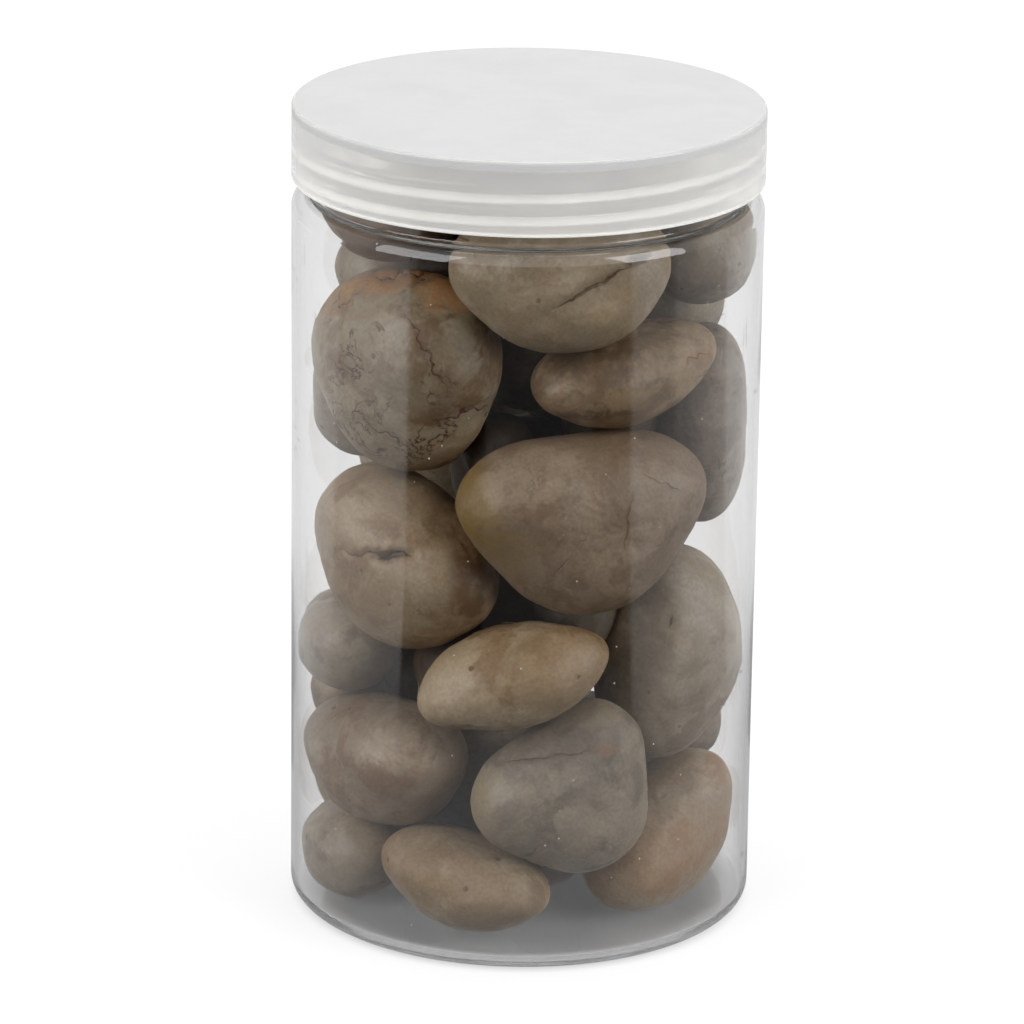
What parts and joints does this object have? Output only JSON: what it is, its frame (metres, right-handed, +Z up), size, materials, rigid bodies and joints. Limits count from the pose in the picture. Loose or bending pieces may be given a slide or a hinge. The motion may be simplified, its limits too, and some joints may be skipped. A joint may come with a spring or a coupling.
{
  "type": "screw-top jar of pebbles",
  "caption": "Clear cylindrical screw-top jar with a frosted lid, filled with smooth polished river pebbles; the lid screws off along its thread.",
  "frame": {"origin": "centre of the standing ring under the base, on the surface the jar stands on", "axes": "+Z up along the jar's axis towards the lid; -Y is the front"},
  "size_m": [0.085, 0.085, 0.15],
  "materials": {
    "clear_plastic": "clear moulded plastic, polished",
    "frosted_plastic": "milky moulded plastic, fine satin",
    "foam": "fine closed foam",
    "stone_cream": "tumbled smooth, half polished",
    "stone_grey": "tumbled smooth, half polished",
    "stone_taupe": "tumbled smooth, half polished",
    "stone_tan": "tumbled smooth, half polished",
    "stone_brown": "tumbled smooth, half polished",
    "stone_plum": "tumbled smooth, half polished"
  },
  "bodies": {
    "jar": {"jar_body": "clear_plastic", "pebble_01": "stone_cream", "pebble_02": "stone_grey", "pebble_03": "stone_cream", "pebble_04": "stone_grey", "pebble_05": "stone_plum", "pebble_06": "stone_taupe", "pebble_07": "stone_tan", "pebble_08": "stone_grey", "pebble_09": "stone_grey", "pebble_10": "stone_cream", "pebble_11": "stone_tan", "pebble_12": "stone_grey", "pebble_13": "stone_tan", "pebble_14": "stone_taupe", "pebble_15": "stone_grey", "pebble_16": "stone_cream", "pebble_17": "stone_grey", "pebble_18": "stone_brown", "pebble_19": "stone_grey", "pebble_20": "stone_plum", "pebble_21": "stone_grey", "pebble_22": "stone_grey", "pebble_23": "stone_cream", "pebble_24": "stone_taupe", "pebble_25": "stone_grey", "pebble_26": "stone_tan", "pebble_27": "stone_cream", "pebble_28": "stone_grey", "pebble_29": "stone_taupe", "pebble_30": "stone_grey", "pebble_31": "stone_tan", "pebble_32": "stone_grey", "pebble_33": "stone_taupe", "pebble_34": "stone_cream", "pebble_35": "stone_grey", "pebble_36": "stone_tan", "pebble_37": "stone_brown", "pebble_38": "stone_plum", "pebble_39": "stone_brown", "pebble_40": "stone_brown", "pebble_41": "stone_plum", "pebble_42": "stone_grey", "pebble_43": "stone_brown", "pebble_44": "stone_cream", "pebble_45": "stone_taupe"},
    "lid_carrier": {"liner": "foam"},
    "lid": {"lid": "frosted_plastic"}
  },
  "joints": [
    {"name": "lid_lift", "type": "slide", "parent": "jar", "child": "lid_carrier", "axis": [0, 0, 1], "range_m": [0, 0.012]},
    {"name": "lid_turn", "type": "hinge", "parent": "lid_carrier", "child": "lid", "pos_m": [0, 0, 0.143], "axis": [0, 0, 1], "range_deg": [0, 1080]}
  ],
  "couplings": [
    {"joint": "lid_lift", "follows": "lid_turn", "m_per_rad": 0.0006366}
  ]
}
